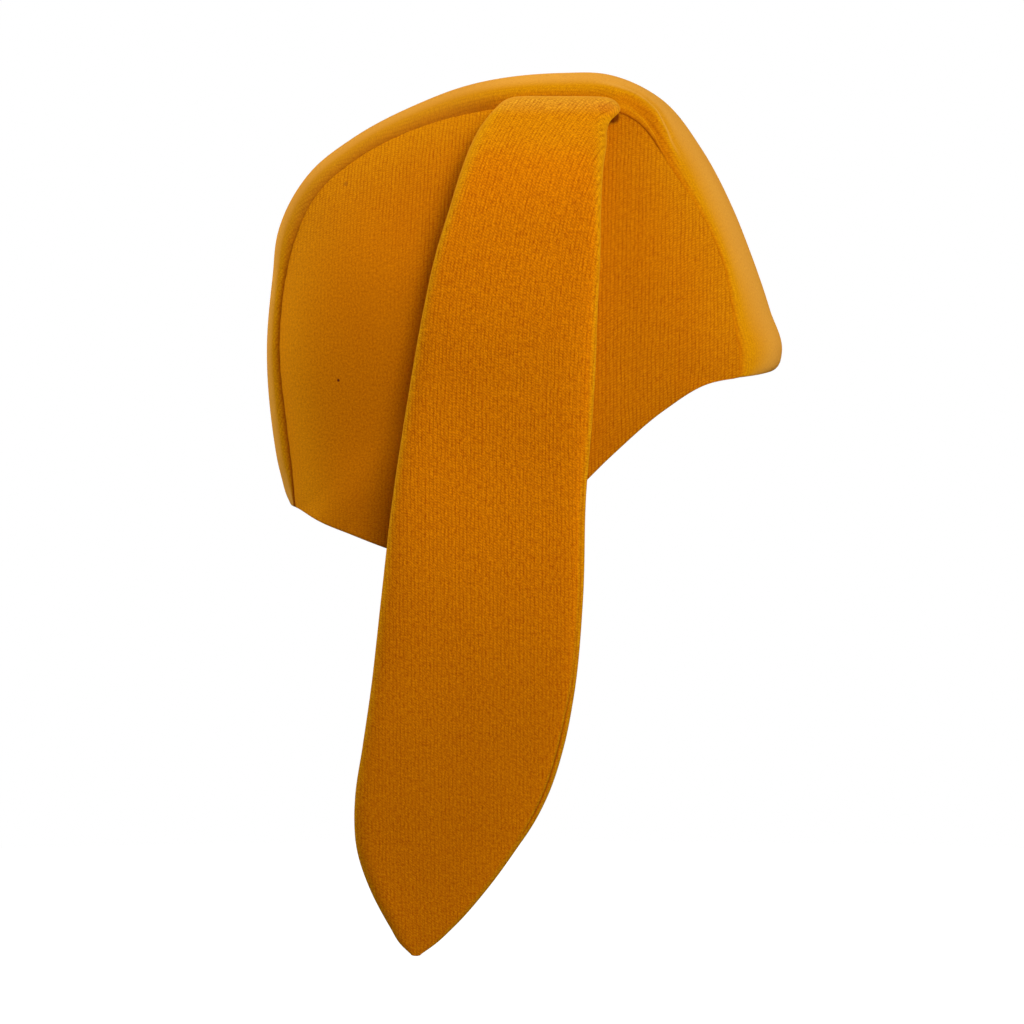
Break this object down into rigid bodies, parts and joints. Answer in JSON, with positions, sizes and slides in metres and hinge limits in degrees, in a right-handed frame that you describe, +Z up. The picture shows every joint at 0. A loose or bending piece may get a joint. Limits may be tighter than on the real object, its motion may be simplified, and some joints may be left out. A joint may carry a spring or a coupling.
{
  "type": "baby cap with long hanging ears",
  "caption": "Soft jersey cap for a baby: a crown band between side panels, with long floppy ears sewn into its crown seams and hanging past the hem.",
  "frame": {"origin": "inside of the cap's crown at its highest point, where the cap sits on a head", "axes": "+Z up along the hanging ears, the cap faces -Y, the wearer's left is +X"},
  "size_m": [0.1558, 0.1731, 0.2844],
  "materials": {
    "jersey": "matt ochre cotton jersey with fine wales and a soft nap",
    "ear_jersey": "the same ochre jersey in two layers, a shade deeper where it hangs"
  },
  "bodies": {
    "root": {"crown_band": "jersey", "side_panel_left": "jersey", "side_panel_right": "jersey", "ear_left": "ear_jersey", "ear_right": "ear_jersey"}
  },
  "joints": []
}
